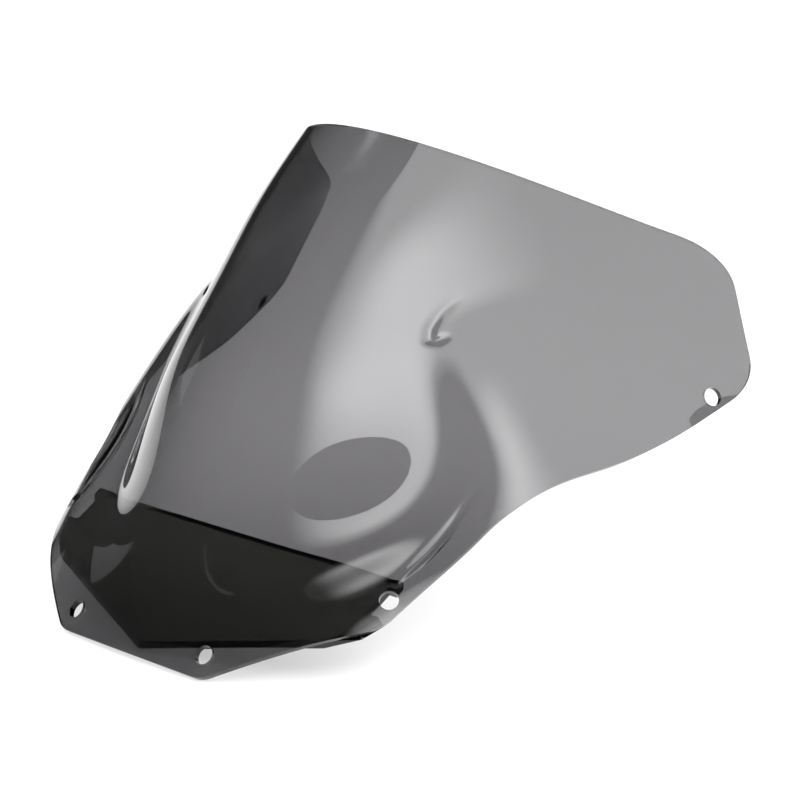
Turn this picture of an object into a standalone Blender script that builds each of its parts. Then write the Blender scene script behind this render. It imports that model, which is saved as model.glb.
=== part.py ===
"""Motorcycle windshield screen: a blown double-bubble shell with a flat panel bonded inside its nose.

Metres, +Z up, nose towards -Y. The origin is midway between the two nose screw holes, on the outer face.
The shell is described the way it is blown through a frame: x runs across the frame, the draw axis runs
back and down through it, and the rise axis runs up and back in it. draw_depth(x, rise) is the outer face.
"""

import math

import bmesh
import bpy
import numpy as np
from mathutils import Matrix, Vector

# Overall sizes of the shell, measured on the frame
HALF_WIDTH = 0.1695  # half of the blowing frame's opening, a little wider than the trimmed wings
RISE = 0.2715  # from the nose edge to the trailing edge
DRAW = 0.100  # the depth that 1 stands for in the stations below
FRAME_LEAN = math.atan(0.5)  # how far the rise axis leans back from vertical
WALL = 0.003  # sheet thickness

# The outline's right half: share of the half width, share of the rise, corner radius
NOSE_CORNER = (0.289, 0.000, 0.016)
SIDE_CORNER = (0.673, 0.171, 0.022)
WAIST = (0.779, 0.398, 0.070)
WING_FOOT = (0.903, 0.560, 0.070)
WING_REAR = (0.988, 0.788, 0.038)
TOP_CORNER = (0.823, 1.000, 0.028)

# Stations up the rise. Each holds its share of the rise, the crown's depth, how fast the dome falls away to
# the sides, the shelf beside it, the flank's slope, the flank's flare, and where across the flank starts.
STATIONS = (
    (-0.033, 0.026, 0.445, 0.028, 1.00, -0.02, 0.575),
    (0.188, 0.021, 1.650, 0.212, 1.06, 0.11, 0.631),
    (0.354, -0.029, 1.910, 0.511, 1.09, 0.28, 0.776),
    (0.519, -0.046, 2.105, 0.561, 1.17, 0.85, 0.726),
    (0.667, 0.020, 2.383, 0.496, 1.06, 0.62, 0.554),
    (0.832, 0.118, 2.369, 0.725, 0.94, 0.47, 0.496),
    (1.006, 0.265, 2.581, 0.878, 0.99, 0.02, 0.384),
)
FLANK_BEND = 0.012  # how softly the shelf turns into the flank
BUBBLE_BLEND = 0.016  # how softly the dome meets the shelf

# Three pairs of screw holes, each with a flat spot-faced seat inside the shell for the fairing's bracket
HOLE_DIAMETER = 0.009
SEAT_DIAMETER = 0.014
SEAT_CUT = 0.0002  # how deep the spot-facer goes past the first full circle
NOSE_HOLE_RISE = 0.011
NOSE_HOLE_X = 0.0454
MIDDLE_HOLE_RISE = 0.0603
MIDDLE_HOLE_INSET = 0.0068  # across the frame, from the outline to the hole's centre
WING_HOLE_RISE = 0.2002
WING_HOLE_INSET = 0.0043

# The inner panel's upper face, and its outline
PANEL_WALL = 0.003
PANEL_REAR_Y = 0.0677
PANEL_REAR_Z = 0.0317
PANEL_SLOPE = 0.562  # its rise over its run, towards the rear
PANEL_TONGUE_HALF_WIDTH = 0.106
PANEL_TONGUE_LENGTH = 0.0045
PANEL_EAR_LENGTH = 0.009  # how far forward from the notch the panel's sides follow the shell
PANEL_SHOULDER_DROP = 0.0095  # from the ear's front end forward to the shoulder, where the sides turn inwards
PANEL_SHOULDER_INSET = 0.011  # from the ear's front end in to the shoulder
PANEL_NOSE_Y = 0.001
PANEL_SCREW_CLEARANCE = 0.0075  # from the middle screw's axis to the notch that lets its nut past
BOND_GAP = 0.0006  # between the panel's edge and the shell

# How finely the faces are drawn
ARC_STEP = math.radians(11)
ROW_SPACING = 0.0105
COLUMNS = 36
BEND_WEIGHT = 0.055  # the length that a full radian of bend counts for when columns are spread along a row
EAR_STEPS = 6
HOLE_SIDES = 28

NOSE_EDGE = -NOSE_HOLE_RISE  # places on the rise axis are counted from the nose holes
DRAW_AXIS = Vector((0.0, math.cos(FRAME_LEAN), -math.sin(FRAME_LEAN)))
RISE_AXIS = Vector((0.0, math.sin(FRAME_LEAN), math.cos(FRAME_LEAN)))


def smooth_curve(places, values):
    """A natural cubic spline through the values, as a function of the place on the rise axis."""
    span = np.diff(places)
    secant = np.diff(values) / span
    count = len(places)
    system = np.eye(count)
    right = np.zeros(count)
    for i in range(1, count - 1):
        system[i, i - 1 : i + 2] = span[i - 1], 2 * (span[i - 1] + span[i]), span[i]
        right[i] = 3 * (secant[i] - secant[i - 1])
    bend = np.linalg.solve(system, right)

    def value(place):
        i = int(np.clip(np.searchsorted(places, place) - 1, 0, count - 2))
        t = place - places[i]
        slope = secant[i] - span[i] * (2 * bend[i] + bend[i + 1]) / 3
        return values[i] + t * (slope + t * (bend[i] + t * (bend[i + 1] - bend[i]) / (3 * span[i])))

    return value


station_columns = np.array(STATIONS).T
station_places = NOSE_EDGE + station_columns[0] * RISE
crown, dome, shelf, flank, flare, shoulder = (smooth_curve(station_places, c) for c in station_columns[1:])


def blown_depth(x, rise):
    """The outer face's depth: a narrow upper dome and a wide lower body, blended into one sheet."""
    upper = DRAW * (crown(rise) + dome(rise) * (x / HALF_WIDTH) ** 2)
    beyond = abs(x) - shoulder(rise) * HALF_WIDTH
    run = FLANK_BEND * np.logaddexp(0.0, beyond / FLANK_BEND) / DRAW
    lower = DRAW * (shelf(rise) + flank(rise) * run + flare(rise) * run**2)
    return float(upper + lower - math.hypot(upper - lower, BUBBLE_BLEND)) / 2


nose_hole_depth = blown_depth(NOSE_HOLE_X, 0.0)


def draw_depth(x, rise):
    return blown_depth(x, rise) - nose_hole_depth


def shell_point(x, rise):
    return Vector((x, 0.0, 0.0)) + draw_depth(x, rise) * DRAW_AXIS + rise * RISE_AXIS


def shell_normal(x, rise):
    """The outer face's normal, pointing forwards out of the shell."""
    step = 0.0002
    across = shell_point(x + step, rise) - shell_point(x - step, rise)
    up = shell_point(x, rise + step) - shell_point(x, rise - step)
    return across.cross(up).normalized()


def rounded_outline():
    """The outline's right half from nose to trailing edge, its corners turned by their radii."""
    corners = [
        (Vector((x * HALF_WIDTH, NOSE_EDGE + rise * RISE)), radius)
        for x, rise, radius in (NOSE_CORNER, SIDE_CORNER, WAIST, WING_FOOT, WING_REAR, TOP_CORNER)
    ]
    path = [Vector((0.0, corners[0][0].y)), *(place for place, _ in corners), Vector((0.0, corners[-1][0].y))]
    points = []
    for i, (corner, radius) in enumerate(corners):
        back = (path[i] - corner).normalized()
        ahead = (path[i + 2] - corner).normalized()
        half_angle = back.angle(ahead) / 2
        centre = corner + (back + ahead).normalized() * radius / math.sin(half_angle)
        tangent = radius / math.tan(half_angle)
        first = corner + back * tangent - centre
        turn = (corner + ahead * tangent - centre).angle_signed(first)
        steps = max(2, math.ceil(abs(turn) / ARC_STEP))
        for k in range(steps + 1):
            points.append(centre + Matrix.Rotation(turn * k / steps, 2) @ first)
    return points


outline = rounded_outline()


def outline_x(rise):
    return float(np.interp(rise, [point.y for point in outline], [point.x for point in outline]))


middle_rise = NOSE_EDGE + MIDDLE_HOLE_RISE
wing_rise = NOSE_EDGE + WING_HOLE_RISE
screw_holes = {
    "nose": (NOSE_HOLE_X, 0.0),
    "middle": (outline_x(middle_rise) - MIDDLE_HOLE_INSET, middle_rise),
    "wing": (outline_x(wing_rise) - WING_HOLE_INSET, wing_rise),
}


def add_object(name, mesh):
    obj = bpy.data.objects.new(name, mesh)
    bpy.context.scene.collection.objects.link(obj)
    return obj


def give_material(obj, name, colour):
    sheet = bpy.data.materials.new(name)
    sheet.use_nodes = True
    shader = sheet.node_tree.nodes["Principled BSDF"]
    shader.inputs["Base Color"].default_value = (*colour, 1.0)
    shader.inputs["Roughness"].default_value = 0.04
    shader.inputs["Metallic"].default_value = 0.0
    shader.inputs["Transmission Weight"].default_value = 0.8
    obj.data.materials.append(sheet)


def row_places():
    """Places on the rise axis: every point of the outline, and enough between them."""
    places = [outline[0].y]
    for point in outline[1:]:
        gap = point.y - places[-1]
        pieces = max(1, math.ceil(gap / ROW_SPACING))
        places += [places[-1] + gap * k / pieces for k in range(1, pieces)] + [point.y]
    return places


def shell_row(rise):
    """Points across the shell at one place on the rise axis, closer together where the sheet bends."""
    half = outline_x(rise)
    x = np.linspace(-half, half, 401)
    depth = np.array([draw_depth(value, rise) for value in x])
    angle = np.arctan2(np.diff(depth), np.diff(x))
    step = np.hypot(np.diff(depth), np.diff(x))
    step[1:] += BEND_WEIGHT * np.abs(np.diff(angle))
    along = np.concatenate([[0.0], np.cumsum(step)])
    spread = np.interp(np.linspace(0.0, along[-1], COLUMNS + 1), along, x)
    spread = (spread - spread[::-1]) / 2  # the two halves mirror each other
    return [shell_point(float(value), rise) for value in spread]


def turned_cutter(name, x, rise, profile):
    """A round cutter on the outer face's normal, its profile radius and height from outside inwards."""
    outward = shell_normal(x, rise)
    work = bmesh.new()
    rings = []
    for radius, height in profile:
        angles = [math.tau * k / HOLE_SIDES for k in range(HOLE_SIDES)]
        rings.append([work.verts.new((radius * math.cos(a), radius * math.sin(a), height)) for a in angles])
    for above, below in zip(rings, rings[1:]):
        for k in range(HOLE_SIDES):
            work.faces.new((above[k - 1], above[k], below[k], below[k - 1]))
    work.faces.new(rings[0])
    work.faces.new(rings[-1])
    bmesh.ops.recalc_face_normals(work, faces=work.faces)
    mesh = bpy.data.meshes.new(name)
    work.to_mesh(mesh)
    work.free()
    cutter = add_object(name, mesh)
    turn = outward.to_track_quat("Z", "Y").to_matrix().to_4x4()
    cutter.matrix_world = Matrix.Translation(shell_point(x, rise)) @ turn
    cutter.hide_render = True
    cutter.display_type = "WIRE"
    return cutter


def spot_drill(name, x, rise):
    """A drill through the wall whose shoulder cuts a flat seat into the inner face."""
    centre = shell_point(x, rise)
    outward = shell_normal(x, rise)
    side = outward.orthogonal().normalized()
    seat_radius = SEAT_DIAMETER / 2
    lift = 0.0  # how far the sheet rises past its tangent plane under the seat
    for k in range(HOLE_SIDES):
        rim = centre + seat_radius * (Matrix.Rotation(math.tau * k / HOLE_SIDES, 3, outward) @ side)
        on_shell = shell_point(rim.x, rim.dot(RISE_AXIS))
        lift = max(lift, (on_shell - centre).dot(outward))
    seat = lift + SEAT_CUT - WALL
    profile = (
        (HOLE_DIAMETER / 2, 3 * WALL),
        (HOLE_DIAMETER / 2, seat),
        (seat_radius, seat),
        (seat_radius, -3 * WALL),
    )
    return turned_cutter(name, x, rise, profile)


def cut_out(obj, cutter):
    cut = obj.modifiers.new(cutter.name, "BOOLEAN")
    cut.operation = "DIFFERENCE"
    cut.solver = "EXACT"
    cut.object = cutter


def make_shell():
    """The outer face as a grid, thickened inwards by the sheet's thickness and drilled six times."""
    rows = [shell_row(place) for place in row_places()]
    work = bmesh.new()
    grid = [[work.verts.new(point) for point in row] for row in rows]
    for lower, upper in zip(grid, grid[1:]):
        for k in range(COLUMNS):
            work.faces.new((lower[k], lower[k + 1], upper[k + 1], upper[k]))
    mesh = bpy.data.meshes.new("screen_shell")
    work.to_mesh(mesh)
    work.free()
    shell = add_object("screen_shell", mesh)
    thicken = shell.modifiers.new("wall", "SOLIDIFY")
    thicken.thickness = WALL
    thicken.offset = -1.0
    thicken.use_even_offset = True
    for place, (x, rise) in screw_holes.items():
        for side, sign in (("right", 1), ("left", -1)):
            cut_out(shell, spot_drill(f"drill_{place}_{side}", sign * x, rise))
    return shell


def panel_height(y, below):
    """Height of the panel's upper face, or of the face that lies this far below it."""
    return PANEL_REAR_Z + (y - PANEL_REAR_Y) * PANEL_SLOPE - below * math.hypot(1.0, PANEL_SLOPE)


def distance_to_shell(point):
    """Distance from a point inside the shell to its outer face, by walking to the foot of the normal."""
    x = point.x
    rise = point.dot(RISE_AXIS)
    for _ in range(12):
        outward = shell_normal(x, rise)
        foot = point - (point - shell_point(x, rise)).dot(outward) * outward
        x = foot.x
        rise = foot.dot(RISE_AXIS)
    return (point - shell_point(x, rise)).length


def wall_x(y, below):
    """How far out the panel reaches at y before it is a bond gap away from the shell's inner face."""
    z = panel_height(y, below)
    near = 0.0
    far = PANEL_TONGUE_HALF_WIDTH
    while Vector((far, y, z)).dot(DRAW_AXIS) > draw_depth(far, Vector((far, y, z)).dot(RISE_AXIS)):
        far += WALL
    for _ in range(40):
        middle = (near + far) / 2
        point = Vector((middle, y, z))
        inside = point.dot(DRAW_AXIS) > draw_depth(middle, point.dot(RISE_AXIS))
        if inside and distance_to_shell(point) > WALL + BOND_GAP:
            near = middle
        else:
            far = middle
    return near


def notch_centre():
    """Where the middle screw's axis meets the panel's upper face, as x and y."""
    x, rise = screw_holes["middle"]
    place = shell_point(x, rise)
    outward = shell_normal(x, rise)
    above = place.z - panel_height(place.y, 0.0)
    met = place - outward * above / (outward.z - PANEL_SLOPE * outward.y)
    return met.x, met.y


def panel_ring(below):
    """The panel's outline on one of its faces, starting at the nose and going round by the right side."""
    notch_x, notch_y = notch_centre()
    notch_front = notch_y - PANEL_SCREW_CLEARANCE
    notch_inside = notch_x - PANEL_SCREW_CLEARANCE
    tongue_front = max(PANEL_REAR_Y - PANEL_TONGUE_LENGTH, notch_y + PANEL_SCREW_CLEARANCE)
    ear = [notch_front - PANEL_EAR_LENGTH * (1 - k / EAR_STEPS) for k in range(EAR_STEPS + 1)]
    side = [(wall_x(y, below), y) for y in ear]
    shoulder = (wall_x(ear[0], 0.0) - PANEL_SHOULDER_INSET, ear[0] - PANEL_SHOULDER_DROP)
    half = [shoulder, *side, (notch_inside, notch_front), (notch_inside, tongue_front)]
    half += [(PANEL_TONGUE_HALF_WIDTH, tongue_front), (PANEL_TONGUE_HALF_WIDTH, PANEL_REAR_Y)]
    ring = [(0.0, PANEL_NOSE_Y), *half, *((-x, y) for x, y in reversed(half))]
    return [Vector((x, y, panel_height(y, below))) for x, y in ring]


def make_panel():
    """A flat sheet whose ears follow the inside of the shell, notched beside the middle screws."""
    work = bmesh.new()
    upper = [work.verts.new(point) for point in panel_ring(0.0)]
    lower = [work.verts.new(point) for point in panel_ring(PANEL_WALL)]
    work.faces.new(upper)
    work.faces.new(list(reversed(lower)))
    for k in range(len(upper)):
        work.faces.new((upper[k - 1], lower[k - 1], lower[k], upper[k]))
    bmesh.ops.recalc_face_normals(work, faces=work.faces)
    mesh = bpy.data.meshes.new("nose_inner_panel")
    work.to_mesh(mesh)
    work.free()
    return add_object("nose_inner_panel", mesh)


for old in list(bpy.data.objects):
    bpy.data.objects.remove(old, do_unlink=True)

screen_shell = make_shell()
give_material(screen_shell, "smoked acrylic", (0.10, 0.095, 0.105))
for polygon in screen_shell.data.polygons:
    polygon.use_smooth = True

nose_inner_panel = make_panel()
give_material(nose_inner_panel, "smoked acrylic panel", (0.11, 0.12, 0.105))
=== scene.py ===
import math

import bpy
import numpy as np
from mathutils import Matrix, Vector


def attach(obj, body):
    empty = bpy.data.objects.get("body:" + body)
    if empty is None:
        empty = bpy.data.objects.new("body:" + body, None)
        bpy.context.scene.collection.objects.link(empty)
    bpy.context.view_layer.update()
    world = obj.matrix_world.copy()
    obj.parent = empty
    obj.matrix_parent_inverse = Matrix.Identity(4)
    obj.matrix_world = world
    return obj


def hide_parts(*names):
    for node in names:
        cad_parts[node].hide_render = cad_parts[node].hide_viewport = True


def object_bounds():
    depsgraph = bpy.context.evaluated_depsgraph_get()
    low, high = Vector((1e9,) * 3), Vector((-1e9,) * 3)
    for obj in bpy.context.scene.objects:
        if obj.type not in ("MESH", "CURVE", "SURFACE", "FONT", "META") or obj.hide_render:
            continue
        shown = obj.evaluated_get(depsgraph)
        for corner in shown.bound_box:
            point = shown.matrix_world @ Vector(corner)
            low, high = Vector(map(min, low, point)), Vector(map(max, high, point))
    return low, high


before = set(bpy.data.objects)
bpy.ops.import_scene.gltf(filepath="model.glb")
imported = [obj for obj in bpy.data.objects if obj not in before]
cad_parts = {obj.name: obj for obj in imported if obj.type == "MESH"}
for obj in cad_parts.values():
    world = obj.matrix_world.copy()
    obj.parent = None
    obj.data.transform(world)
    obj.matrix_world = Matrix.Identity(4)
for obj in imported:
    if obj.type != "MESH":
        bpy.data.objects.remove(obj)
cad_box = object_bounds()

bpy.ops.object.select_all(action="DESELECT")

# The shell: one sheet of smoked acrylic, heated and blown into a double bubble, then trimmed to its outline
# and drilled for six screws. Its outer face is a formula on the blowing frame: x runs across, the draw axis
# runs back and down, and the rise axis runs up and back.
half_width = 0.1695
rise_length = 0.2715
draw_unit = 0.100
sheet_thickness = 0.003
frame_lean = math.atan(0.5)
nose_edge = -0.011
draw_axis = np.array([0.0, math.cos(frame_lean), -math.sin(frame_lean)])
rise_axis = np.array([0.0, math.sin(frame_lean), math.cos(frame_lean)])
flank_bend = 0.012
bubble_blend = 0.016
# share of the rise, crown depth, dome fall, shelf depth, flank slope, flank flare, where the flank starts;
# these values came from a fitting program and weren't chosen by hand
stations = np.array([
    (-0.033, 0.026, 0.445, 0.028, 1.00, -0.02, 0.575),
    (0.188, 0.021, 1.650, 0.212, 1.06, 0.11, 0.631),
    (0.354, -0.029, 1.910, 0.511, 1.09, 0.28, 0.776),
    (0.519, -0.046, 2.105, 0.561, 1.17, 0.85, 0.726),
    (0.667, 0.020, 2.383, 0.496, 1.06, 0.62, 0.554),
    (0.832, 0.118, 2.369, 0.725, 0.94, 0.47, 0.496),
    (1.006, 0.265, 2.581, 0.878, 0.99, 0.02, 0.384),
]).T
# share of the half width, share of the rise, corner radius
outline_corners = (
    (0.289, 0.000, 0.016),
    (0.673, 0.171, 0.022),
    (0.779, 0.398, 0.070),
    (0.903, 0.560, 0.070),
    (0.988, 0.788, 0.038),
    (0.823, 1.000, 0.028),
)
station_places = nose_edge + stations[0] * rise_length


def smooth_curve(values):
    """A natural cubic spline through the stations' values."""
    span = np.diff(station_places)
    secant = np.diff(values) / span
    count = len(station_places)
    system = np.eye(count)
    right = np.zeros(count)
    for i in range(1, count - 1):
        system[i, i - 1 : i + 2] = span[i - 1], 2 * (span[i - 1] + span[i]), span[i]
        right[i] = 3 * (secant[i] - secant[i - 1])
    bend = np.linalg.solve(system, right)

    def value(place):
        i = int(np.clip(np.searchsorted(station_places, place) - 1, 0, count - 2))
        t = place - station_places[i]
        slope = secant[i] - span[i] * (2 * bend[i] + bend[i + 1]) / 3
        return values[i] + t * (slope + t * (bend[i] + t * (bend[i + 1] - bend[i]) / (3 * span[i])))

    return value


crown, dome, shelf, flank, flare, shoulder = (smooth_curve(column) for column in stations[1:])

# Pressed marks, each a line whose points hold x, rise and depth: a crease beside each middle screw, and a
# small hooked dent on each side of the dome.
crease = (
    (0.1095, 0.058, 0.0004),
    (0.1125, 0.074, 0.0014),
    (0.1155, 0.093, 0.0012),
    (0.1195, 0.122, 0.0000),
)
hook = (
    (0.0835, 0.1745, 0.0002),
    (0.0797, 0.1704, 0.0012),
    (0.0766, 0.1700, 0.0018),
    (0.0751, 0.1745, 0.0014),
    (0.0755, 0.1830, 0.0008),
    (0.0785, 0.1960, 0.0000),
)
crease_width = 0.0022
hook_width = 0.0019


def pressed(x, rise, line, width):
    """How deep a mark is pressed in at points across the sheet."""
    depth = np.zeros_like(x)
    for (x0, r0, d0), (x1, r1, d1) in zip(line, line[1:]):
        run = np.array([x1 - x0, r1 - r0])
        t = np.clip(((np.abs(x) - x0) * run[0] + (rise - r0) * run[1]) / (run @ run), 0.0, 1.0)
        gap = np.hypot(np.abs(x) - x0 - t * run[0], rise - r0 - t * run[1])
        depth = np.maximum(depth, (d0 + (d1 - d0) * t) * np.exp(-((gap / width) ** 2)))
    return depth


def blown_depth(x, rise):
    """The outer face's depth: a narrow upper dome and a wide lower body, blended into one sheet."""
    upper = draw_unit * (crown(rise) + dome(rise) * (x / half_width) ** 2)
    beyond = np.abs(x) - shoulder(rise) * half_width
    run = flank_bend * np.logaddexp(0.0, beyond / flank_bend) / draw_unit
    lower = draw_unit * (shelf(rise) + flank(rise) * run + flare(rise) * run**2)
    return (upper + lower - np.hypot(upper - lower, bubble_blend)) / 2


nose_hole_x = 0.0454
nose_hole_depth = float(blown_depth(np.array([nose_hole_x]), 0.0)[0])


def shell_points(x, rise):
    """Points on the outer face, with its pressed marks, at one place on the rise axis."""
    depth = blown_depth(x, rise) - nose_hole_depth
    depth += pressed(x, rise, crease, crease_width) + pressed(x, rise, hook, hook_width)
    return np.outer(x, (1.0, 0.0, 0.0)) + np.outer(depth, draw_axis) + rise * rise_axis


# the outline's right half, its corners turned by their radii
corners = [
    (Vector((x * half_width, nose_edge + rise * rise_length)), radius) for x, rise, radius in outline_corners
]
path = [Vector((0.0, corners[0][0].y)), *(place for place, _ in corners), Vector((0.0, corners[-1][0].y))]
arc_step = math.radians(4)
outline = []
for i, (corner, radius) in enumerate(corners):
    back = (path[i] - corner).normalized()
    ahead = (path[i + 2] - corner).normalized()
    half_angle = back.angle(ahead) / 2
    centre = corner + (back + ahead).normalized() * radius / math.sin(half_angle)
    tangent = radius / math.tan(half_angle)
    first = corner + back * tangent - centre
    turn = (corner + ahead * tangent - centre).angle_signed(first)
    steps = max(3, math.ceil(abs(turn) / arc_step))
    outline += [centre + Matrix.Rotation(turn * k / steps, 2) @ first for k in range(steps + 1)]


def outline_x(rise):
    return float(np.interp(rise, [point.y for point in outline], [point.x for point in outline]))


# rows at every point of the outline and between, closer together at the hooked dents
row_spacing = 0.0022
dent_spacing = 0.0011
dent_foot = 0.160
dent_top = 0.200
rows = [outline[0].y]
for point in outline[1:]:
    gap = point.y - rows[-1]
    spacing = dent_spacing if dent_foot < point.y < dent_top else row_spacing
    pieces = max(1, math.ceil(gap / spacing))
    rows += [rows[-1] + gap * k / pieces for k in range(1, pieces)] + [point.y]

# columns as shares of the row's half width, closer together along the crease and the dents
crease_share = 0.875
dent_share = 0.48
band = 0.055
extra_columns = 1.6
share = np.linspace(-1.0, 1.0, 2001)
by_crease = np.abs(np.abs(share) - crease_share) < band
by_dent = np.abs(np.abs(share) - dent_share) < band
density = 1.0 + extra_columns * by_crease + extra_columns * by_dent
filled = np.cumsum(density)
column_count = 176
columns = np.interp(np.linspace(filled[0], filled[-1], column_count + 1), filled, share)
columns = (columns - columns[::-1]) / 2

bpy.ops.mesh.primitive_grid_add(x_subdivisions=column_count, y_subdivisions=len(rows) - 1, size=2.0)
shell = bpy.context.object
shell.name = "shell"
placed = np.concatenate([shell_points(columns * outline_x(rise), rise) for rise in rows])
shell.data.vertices.foreach_set("co", placed.astype(np.float32).ravel())
shell.data.update()

wall = shell.modifiers.new("wall", "SOLIDIFY")
wall.thickness = sheet_thickness
wall.offset = -1.0
wall.use_even_offset = True
bpy.ops.object.modifier_apply(modifier="wall")

# three pairs of screw holes, each drilled square to the outer face
hole_radius = 0.0045
drill_length = 0.02
step = 0.0002  # between the places that give the face's two directions
middle_rise = nose_edge + 0.0603
middle_inset = 0.0068
wing_rise = nose_edge + 0.2002
wing_inset = 0.0043
holes = (
    (nose_hole_x, 0.0),
    (outline_x(middle_rise) - middle_inset, middle_rise),
    (outline_x(wing_rise) - wing_inset, wing_rise),
)
for x, rise in holes:
    for side in (1, -1):
        here = Vector(shell_points(np.array([side * x]), rise)[0])
        across = Vector(shell_points(np.array([side * x + step]), rise)[0]) - here
        up = Vector(shell_points(np.array([side * x]), rise + step)[0]) - here
        turned = across.normalized().cross(up.normalized()).to_track_quat("Z", "Y").to_euler()
        bpy.ops.mesh.primitive_cylinder_add(
            vertices=72, radius=hole_radius, depth=drill_length, location=here, rotation=turned
        )
        drill = bpy.context.object
        cut = shell.modifiers.new("hole", "BOOLEAN")
        cut.operation = "DIFFERENCE"
        cut.solver = "EXACT"
        cut.object = drill
        bpy.context.view_layer.objects.active = shell
        bpy.ops.object.modifier_apply(modifier="hole")
        bpy.data.objects.remove(drill, do_unlink=True)

bpy.ops.object.select_all(action="DESELECT")
shell.select_set(True)
bpy.context.view_layer.objects.active = shell
bpy.ops.object.shade_smooth_by_angle(angle=math.radians(35))


def smoked_acrylic(name, tint):
    """Polished acrylic with a smoke dye: clear, with a faint unevenness in the dye and fine wipe marks."""
    unevenness = 0.05
    made = bpy.data.materials.new(name)
    made.use_nodes = True
    tree = made.node_tree
    shader = tree.nodes["Principled BSDF"]
    shader.inputs["Transmission Weight"].default_value = 1.0
    shader.inputs["IOR"].default_value = 1.49
    place = tree.nodes.new("ShaderNodeTexCoord")
    cloud = tree.nodes.new("ShaderNodeTexNoise")
    cloud.inputs["Scale"].default_value = 9.0
    cloud.inputs["Detail"].default_value = 2.0
    tree.links.new(place.outputs["Object"], cloud.inputs["Vector"])
    dye = tree.nodes.new("ShaderNodeValToRGB")
    dye.color_ramp.elements[0].color = (*(channel * (1 - unevenness) for channel in tint), 1.0)
    dye.color_ramp.elements[1].color = (*(channel * (1 + unevenness) for channel in tint), 1.0)
    tree.links.new(cloud.outputs["Fac"], dye.inputs["Fac"])
    # seen at a slant, the view passes through more of the dyed sheet
    slant = tree.nodes.new("ShaderNodeLayerWeight")
    slant.inputs["Blend"].default_value = 0.5
    thicker = tree.nodes.new("ShaderNodeMapRange")
    thicker.inputs["To Min"].default_value = 1.0
    thicker.inputs["To Max"].default_value = 0.15
    tree.links.new(slant.outputs["Facing"], thicker.inputs["Value"])
    darker = tree.nodes.new("ShaderNodeVectorMath")
    darker.operation = "SCALE"
    tree.links.new(dye.outputs["Color"], darker.inputs["Vector"])
    tree.links.new(thicker.outputs["Result"], darker.inputs["Scale"])
    tree.links.new(darker.outputs["Vector"], shader.inputs["Base Color"])
    smear = tree.nodes.new("ShaderNodeTexNoise")
    smear.inputs["Scale"].default_value = 60.0
    smear.inputs["Detail"].default_value = 4.0
    stretch = tree.nodes.new("ShaderNodeMapping")
    stretch.inputs["Scale"].default_value = (1.0, 0.25, 0.25)
    tree.links.new(place.outputs["Object"], stretch.inputs["Vector"])
    tree.links.new(stretch.outputs["Vector"], smear.inputs["Vector"])
    polish = tree.nodes.new("ShaderNodeMapRange")
    polish.inputs["From Min"].default_value = 0.35
    polish.inputs["From Max"].default_value = 0.75
    polish.inputs["To Min"].default_value = 0.0
    polish.inputs["To Max"].default_value = 0.012
    tree.links.new(smear.outputs["Fac"], polish.inputs["Value"])
    tree.links.new(polish.outputs["Result"], shader.inputs["Roughness"])
    # lamp light passes through the sheet
    through = tree.nodes.new("ShaderNodeBsdfTransparent")
    through.inputs["Color"].default_value = (0.8, 0.8, 0.8, 1.0)
    rays = tree.nodes.new("ShaderNodeLightPath")
    either = tree.nodes.new("ShaderNodeMixShader")
    tree.links.new(rays.outputs["Is Shadow Ray"], either.inputs["Fac"])
    tree.links.new(shader.outputs["BSDF"], either.inputs[1])
    tree.links.new(through.outputs["BSDF"], either.inputs[2])
    tree.links.new(either.outputs["Shader"], tree.nodes["Material Output"].inputs["Surface"])
    return made


shell.data.materials.append(smoked_acrylic("smoked shell", (0.152, 0.148, 0.154)))
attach(shell, "root")
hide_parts("screen_shell")

# The inner panel: a flat sheet of the same acrylic, slightly greener, cut to the inside of the nose and
# bonded there along its two ears.
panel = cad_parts["nose_inner_panel"]
panel.data.materials.clear()
panel.data.materials.append(smoked_acrylic("smoked panel", (0.240, 0.250, 0.225)))

# The studio: a white floor, a tall softbox to the screen's right with a low one at its foot, a small one to
# its left, a narrow tube ahead, one in the roof, and a white surround that stays dark in the polished sheet.
floor_gap = 0.0005
low = cad_box[0]
bpy.ops.mesh.primitive_plane_add(size=30.0, location=(0.0, 0.0, low.z - floor_gap))
floor = bpy.context.object
floor.name = "floor"
paper = bpy.data.materials.new("white floor")
paper.use_nodes = True
paper.node_tree.nodes["Principled BSDF"].inputs["Base Color"].default_value = (0.92, 0.92, 0.92, 1.0)
paper.node_tree.nodes["Principled BSDF"].inputs["Roughness"].default_value = 0.9
paper.node_tree.nodes["Principled BSDF"].inputs["Specular IOR Level"].default_value = 0.1
floor.data.materials.append(paper)


screen_middle = 0.1  # how far behind the origin the softboxes stand round


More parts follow.
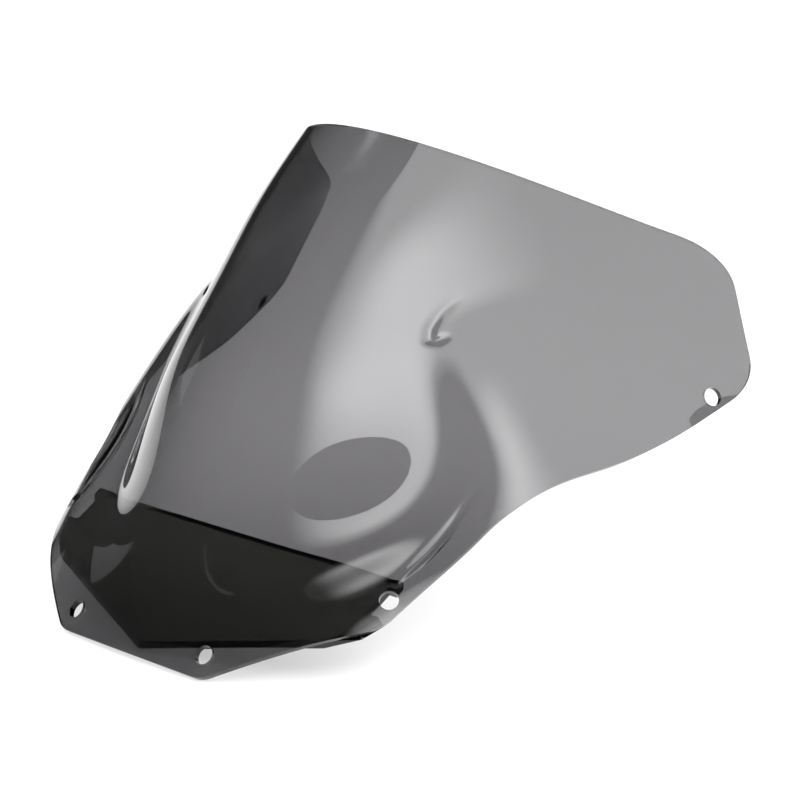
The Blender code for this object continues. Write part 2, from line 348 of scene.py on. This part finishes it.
def softbox(
    name, azimuth, reach, foot, width, height, radiance,
    hot=1.0, hot_spot=(0.5, 0.5), glow_reach=1.0, fade=0.0, lean=0.0,
):
    """A softbox facing the screen, its foot at a height above the origin, hot times as bright round its tube.
    Fade is the share of its width over which one side dims. Lean tips it by degrees to face the floor."""
    lamp = bpy.data.lights.new(name, "AREA")
    lamp.shape = "RECTANGLE"
    lamp.size = width
    lamp.size_y = height
    lamp.energy = radiance * math.pi * width * height
    lamp.use_nodes = True
    tree = lamp.node_tree
    place = tree.nodes.new("ShaderNodeNewGeometry")
    apart = tree.nodes.new("ShaderNodeVectorMath")
    apart.operation = "SUBTRACT"
    apart.inputs[1].default_value = (hot_spot[0], hot_spot[1], 0.0)
    tree.links.new(place.outputs["Parametric"], apart.inputs[0])
    scaled = tree.nodes.new("ShaderNodeVectorMath")
    scaled.operation = "MULTIPLY"
    scaled.inputs[1].default_value = (width / glow_reach, height / glow_reach, 0.0)
    tree.links.new(apart.outputs["Vector"], scaled.inputs[0])
    away = tree.nodes.new("ShaderNodeVectorMath")
    away.operation = "LENGTH"
    tree.links.new(scaled.outputs["Vector"], away.inputs[0])
    glow = tree.nodes.new("ShaderNodeMapRange")
    glow.interpolation_type = "SMOOTHSTEP"
    glow.inputs["To Min"].default_value = hot
    glow.inputs["To Max"].default_value = 1.0
    tree.links.new(away.outputs["Value"], glow.inputs["Value"])
    strength = glow.outputs["Result"]
    if fade:
        across = tree.nodes.new("ShaderNodeSeparateXYZ")
        tree.links.new(place.outputs["Parametric"], across.inputs["Vector"])
        dim = tree.nodes.new("ShaderNodeMapRange")
        dim.interpolation_type = "SMOOTHSTEP"
        dim.inputs["From Max"].default_value = fade
        tree.links.new(across.outputs["X"], dim.inputs["Value"])
        both = tree.nodes.new("ShaderNodeMath")
        both.operation = "MULTIPLY"
        tree.links.new(strength, both.inputs[0])
        tree.links.new(dim.outputs["Result"], both.inputs[1])
        strength = both.outputs["Value"]
    tree.links.new(strength, tree.nodes["Emission"].inputs["Strength"])
    holder = bpy.data.objects.new(name, lamp)
    bpy.context.scene.collection.objects.link(holder)
    a = math.radians(azimuth)
    tip = math.radians(lean)
    towards = Vector((math.sin(a), -math.cos(a), 0.0))
    facing = towards * math.cos(tip) + Vector((0.0, 0.0, math.sin(tip)))
    holder.location = towards * reach + Vector((0.0, screen_middle, foot + height / 2))
    holder.rotation_euler = facing.to_track_quat("Z", "Y").to_euler()


softbox(
    "right softbox", azimuth=75.0, reach=1.5, foot=0.95, width=3.85, height=3.67, radiance=3.3,
    hot=2.5, hot_spot=(0.37, 0.153), glow_reach=1.2, fade=0.22,
)
softbox("low softbox", azimuth=107.0, reach=1.75, foot=0.35, width=1.2, height=0.49, radiance=3.3)
softbox("left softbox", azimuth=-80.0, reach=1.6, foot=0.30, width=0.34, height=0.26, radiance=0.35)
softbox("narrow tube", azimuth=-19.0, reach=2.0, foot=0.95, width=0.05, height=1.1, radiance=0.5)
softbox(
    "roof softbox", azimuth=-50.0, reach=0.46, foot=1.25, width=0.44, height=0.44, radiance=0.25,
    hot=20.0, glow_reach=0.22, lean=90.0,
)

surround_strength = 0.95
surround_in_gloss = 0.05
world = bpy.data.worlds.new("studio")
world.use_nodes = True
sky = world.node_tree
bright = sky.nodes["Background"]
bright.inputs["Color"].default_value = (1.0, 1.0, 1.0, 1.0)
bright.inputs["Strength"].default_value = surround_strength
dark = sky.nodes.new("ShaderNodeBackground")
dark.inputs["Color"].default_value = (1.0, 1.0, 1.0, 1.0)
dark.inputs["Strength"].default_value = surround_in_gloss
rays = sky.nodes.new("ShaderNodeLightPath")
either = sky.nodes.new("ShaderNodeMixShader")
sky.links.new(rays.outputs["Is Glossy Ray"], either.inputs["Fac"])
sky.links.new(bright.outputs["Background"], either.inputs[1])
sky.links.new(dark.outputs["Background"], either.inputs[2])
sky.links.new(either.outputs["Shader"], sky.nodes["World Output"].inputs["Surface"])
bpy.context.scene.world = world
bpy.context.scene.view_settings.view_transform = "Standard"

# The camera, ahead of the screen's right side and a little above it.
camera_data = bpy.data.cameras.new("camera")
camera_data.lens = 112.5
camera_data.sensor_width = 36.0
camera = bpy.data.objects.new("camera", camera_data)
bpy.context.scene.collection.objects.link(camera)
azimuth = math.radians(43.74)
elevation = math.radians(14.64)
towards_camera = Vector((
    math.sin(azimuth) * math.cos(elevation), -math.cos(azimuth) * math.cos(elevation), math.sin(elevation)
))
camera.location = (0.8478, -0.7097, 0.3983)
camera.rotation_euler = towards_camera.to_track_quat("Z", "Y").to_euler()
bpy.context.scene.camera = camera
